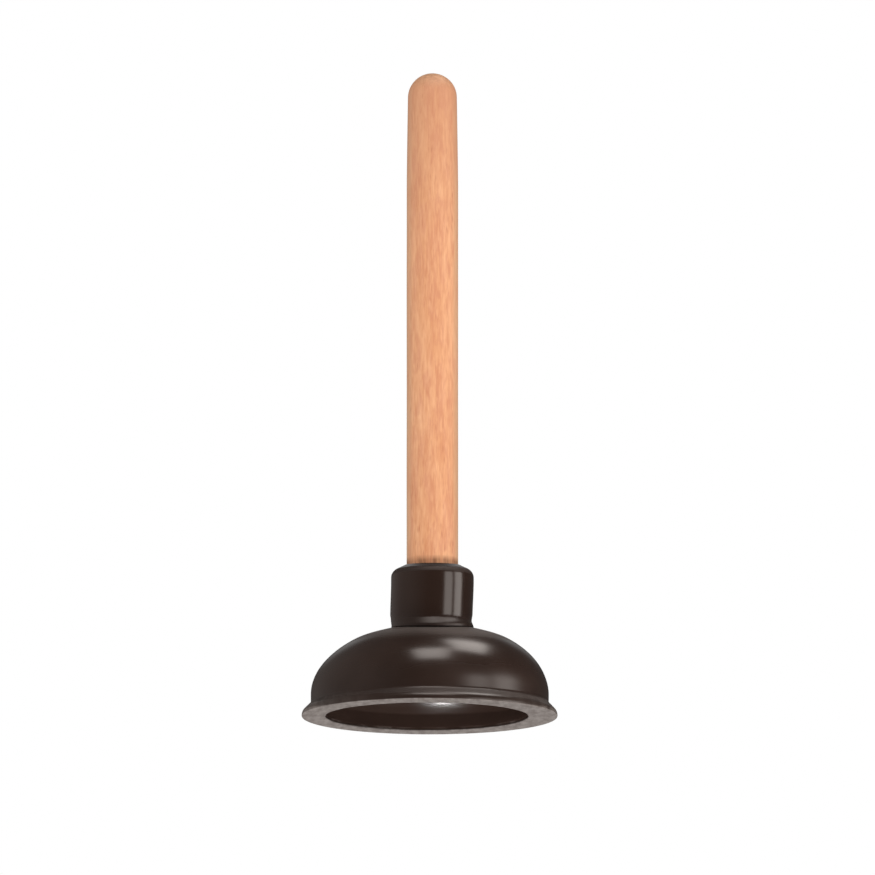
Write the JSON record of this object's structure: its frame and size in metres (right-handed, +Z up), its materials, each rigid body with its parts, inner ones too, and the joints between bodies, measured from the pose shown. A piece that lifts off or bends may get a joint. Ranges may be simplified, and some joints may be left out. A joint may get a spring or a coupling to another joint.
{
  "type": "sink plunger",
  "caption": "Short plunger: a soft domed force cup with a flared flat rim and straight collar, on a plain round-ended wooden handle that screws out.",
  "frame": {"origin": "centre of the rim's flat sealing face, the lowest plane of the part", "axes": "+Z up along the handle; +X and +Y lie in the plane of the rim, and the part is round about Z apart from its thread"},
  "size_m": [0.1018, 0.1018, 0.2594],
  "materials": {
    "cup_rubber": "soft gloss, as moulded",
    "rim_rubber": "soft gloss above, matt and greyish on the flat sealing face",
    "handle_wood": "smooth turned wood with a thin clear coat"
  },
  "bodies": {
    "cup_rim": {"cup_rim": "rim_rubber", "cup_dome": "cup_rubber"},
    "collar": {"cup_collar": "cup_rubber"},
    "handle_tip": {"handle_tip": "handle_wood"},
    "handle": {"handle": "handle_wood"}
  },
  "joints": [
    {"name": "cup_press", "type": "slide", "parent": "cup_rim", "child": "collar", "axis": [0, 0, -1], "range_m": [0, 0.014], "stiffness_N_per_m": 2200, "springref_m": -0.0006, "deforming": ["cup_dome"]},
    {"name": "handle_rise", "type": "slide", "parent": "collar", "child": "handle_tip", "axis": [0, 0, 1], "range_m": [0, 0.0212]},
    {"name": "handle_turn", "type": "hinge", "parent": "handle_tip", "child": "handle", "pos_m": [0, 0, 0.0355], "axis": [0, 0, 1], "range_deg": [0, 1495]}
  ],
  "couplings": [
    {"joint": "handle_rise", "follows": "handle_turn", "m_per_rad": 0.00080851}
  ]
}
